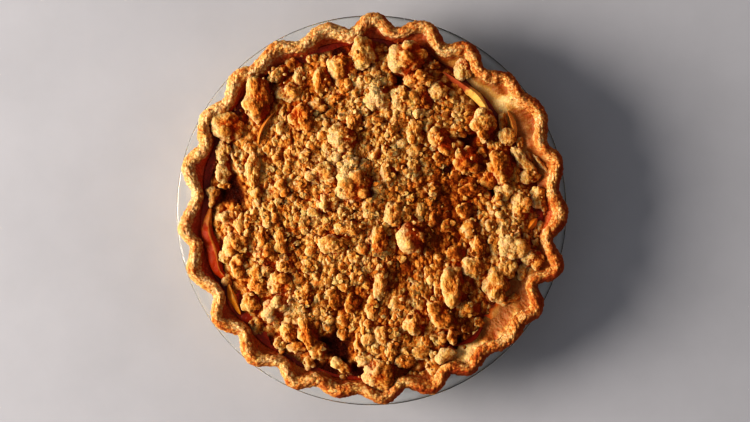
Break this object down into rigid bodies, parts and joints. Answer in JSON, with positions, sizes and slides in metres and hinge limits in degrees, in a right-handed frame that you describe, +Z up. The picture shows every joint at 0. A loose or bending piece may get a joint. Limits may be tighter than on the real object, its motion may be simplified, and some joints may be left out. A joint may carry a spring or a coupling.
{
  "type": "apple crumble pie in a glass pie dish",
  "caption": "Round baked pie in its own clear glass dish: fluted pastry crust on the rim, apple and syrup filling, apple slices at the edge, heaped crumble of toasted clumps on top",
  "frame": {"origin": "centre of the flat underside of the dish, on the surface the dish stands on", "axes": "+Z up, +X to the picture's right, +Y to the picture's top edge"},
  "size_m": [0.241, 0.2412, 0.0592],
  "materials": {
    "clear_glass": "clear polished glass",
    "baked_crust": "baked golden pastry, matt and grainy, toasted along the crests",
    "apple_filling": "glossy set apple syrup, dark red-brown to orange",
    "crumble": "dry rough toasted crumble with oat flakes",
    "apple_slice": "moist cooked apple, glazed"
  },
  "bodies": {
    "root": {"dish": "clear_glass", "crust": "baked_crust", "filling": "apple_filling", "crumble": "crumble", "apple_slice_1": "apple_slice", "apple_slice_2": "apple_slice", "apple_slice_3": "apple_slice", "apple_slice_4": "apple_slice", "apple_slice_5": "apple_slice", "apple_slice_6": "apple_slice", "apple_slice_7": "apple_slice"}
  },
  "joints": []
}
